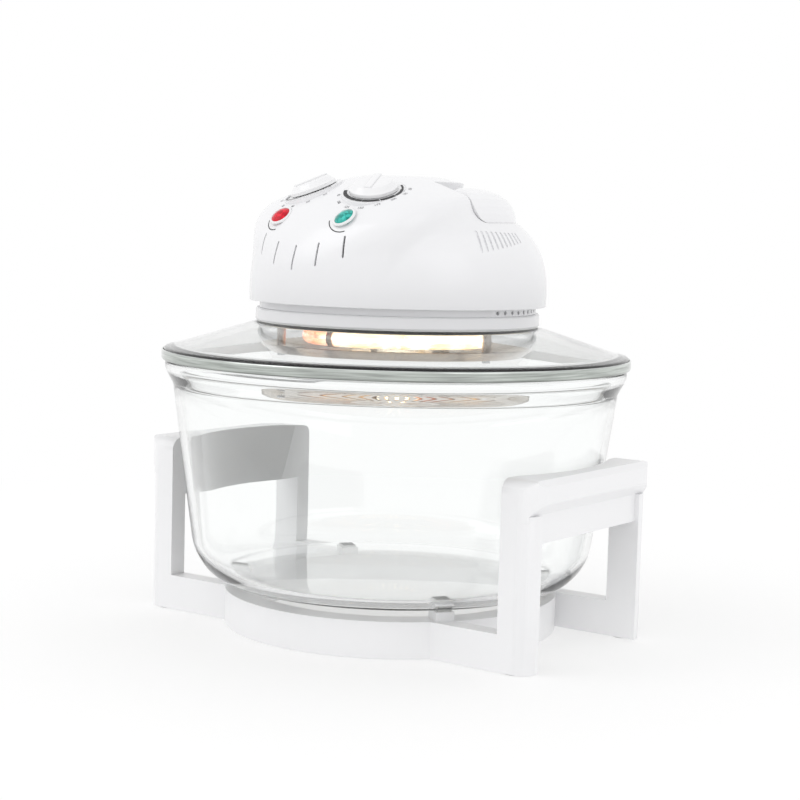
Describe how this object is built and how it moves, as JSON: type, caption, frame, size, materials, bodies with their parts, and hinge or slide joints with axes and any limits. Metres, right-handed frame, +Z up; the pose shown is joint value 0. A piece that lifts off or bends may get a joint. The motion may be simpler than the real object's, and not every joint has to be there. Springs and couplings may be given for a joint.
{
  "type": "halogen oven",
  "caption": "Countertop halogen oven: glass bowl on a handled plastic stand under a lift-off glass lid with a domed heating head, dials, lamps and bail handle.",
  "frame": {"origin": "on the table under the middle of the bowl, at the centre of the object's footprint", "axes": "+Z up; X runs from carrying handle to carrying handle and is the longest extent; -Y is the stand's front, and the head's controls face 7.7 degrees round from it"},
  "size_m": [0.336, 0.331, 0.3184],
  "materials": {
    "stand_plastic": "smooth white moulding",
    "head_plastic": "smooth white moulding",
    "control_plastic": "light grey moulding",
    "dark_plastic": "dark moulding",
    "grey_plastic": "grey moulding",
    "bowl_glass": "clear tempered glass",
    "lid_glass": "clear tempered glass",
    "quartz": "clear quartz",
    "red_lens": "clear red lens",
    "green_lens": "clear green lens",
    "band_steel": "polished stainless steel",
    "reflector_steel": "polished steel",
    "sheet_steel": "plated sheet steel",
    "screw_steel": "plated steel",
    "fan_aluminium": "pressed aluminium",
    "silicone": "translucent silicone",
    "foot_rubber": "soft light rubber",
    "cord_rubber": "white flexible bush",
    "tungsten": "glowing tungsten coil",
    "socket_ceramic": "unglazed white ceramic",
    "laminated_iron": "stacked laminations",
    "copper_winding": "varnished winding",
    "bronze": "sintered bronze"
  },
  "bodies": {
    "stand": {"stand_base": "stand_plastic", "handle_frame_right": "stand_plastic", "handle_frame_left": "stand_plastic", "stand_screws": "screw_steel", "rubber_feet": "foot_rubber", "bowl_pads": "foot_rubber"},
    "bowl": {"glass_bowl": "bowl_glass"},
    "lid": {"lid_glass": "lid_glass", "lid_band": "band_steel", "lid_seal": "silicone", "lid_gasket": "silicone", "collar_ring": "head_plastic", "vent_ring": "head_plastic", "base_plate": "grey_plastic", "head_cover": "head_plastic", "cover_screws": "screw_steel", "plunger_spring": "screw_steel", "switch_bracket": "sheet_steel", "microswitch": "dark_plastic", "timer_dial": "control_plastic", "timer_unit": "sheet_steel", "thermostat_dial": "control_plastic", "thermostat_unit": "sheet_steel", "control_screws": "screw_steel", "power_lens": "red_lens", "heat_lens": "green_lens", "lamp_bezels": "control_plastic", "lamp_holders": "grey_plastic", "reflector": "reflector_steel", "chamber_spacers": "sheet_steel", "reflector_screws": "screw_steel", "heat_shield": "fan_aluminium", "halogen_tube": "quartz", "filament": "tungsten", "lamp_sockets": "socket_ceramic", "lamp_clips": "sheet_steel", "fan_guard": "reflector_steel", "guard_posts": "sheet_steel", "guard_screws": "screw_steel", "thermal_fuse": "sheet_steel", "motor_bracket_lower": "sheet_steel", "motor_bracket_upper": "sheet_steel", "shaft_bushes": "bronze", "stator_core": "laminated_iron", "stator_coil": "copper_winding", "motor_spacers": "sheet_steel", "motor_screws": "screw_steel", "terminal_block": "grey_plastic", "cord_inlet": "cord_rubber"},
    "bail": {"bail_handle": "head_plastic", "bail_pins": "screw_steel"},
    "plunger": {"switch_plunger": "dark_plastic"},
    "timer_control": {"timer_knob": "control_plastic", "timer_spindle": "screw_steel"},
    "thermostat_control": {"thermostat_knob": "control_plastic", "thermostat_spindle": "screw_steel"},
    "rotor": {"motor_shaft": "screw_steel", "rotor_core": "laminated_iron", "convection_fan": "fan_aluminium", "cooling_fan": "fan_aluminium"}
  },
  "joints": [
    {"name": "bowl_lift", "type": "slide", "parent": "stand", "child": "bowl", "axis": [0, 0, 1], "range_m": [0, 0.12]},
    {"name": "lid_lift", "type": "slide", "parent": "bowl", "child": "lid", "axis": [0, 0, 1], "range_m": [0, 0.12]},
    {"name": "bail_fold", "type": "hinge", "parent": "lid", "child": "bail", "pos_m": [0, 0, 0.299], "axis": [0.991, -0.134, 0], "range_deg": [0, 90]},
    {"name": "plunger_slide", "type": "slide", "parent": "lid", "child": "plunger", "axis": [0, 0, 1], "range_m": [0, 0.003], "deforming": ["plunger_spring"]},
    {"name": "timer_turn", "type": "hinge", "parent": "lid", "child": "timer_control", "pos_m": [-0.03603, -0.05224, 0.306], "axis": [0.2172, 0.315, -0.9239], "range_deg": [0, 300]},
    {"name": "thermostat_turn", "type": "hinge", "parent": "lid", "child": "thermostat_control", "pos_m": [0.02086, -0.05994, 0.306], "axis": [-0.1258, 0.3614, -0.9239], "range_deg": [0, 270]},
    {"name": "fan_spin", "type": "hinge", "parent": "lid", "child": "rotor", "pos_m": [0, 0, 0.25], "axis": [0, 0, 1], "continuous": true}
  ],
  "couplings": [
    {"joint": "plunger_slide", "follows": "bail_fold", "m_per_rad": 0.0019}
  ]
}
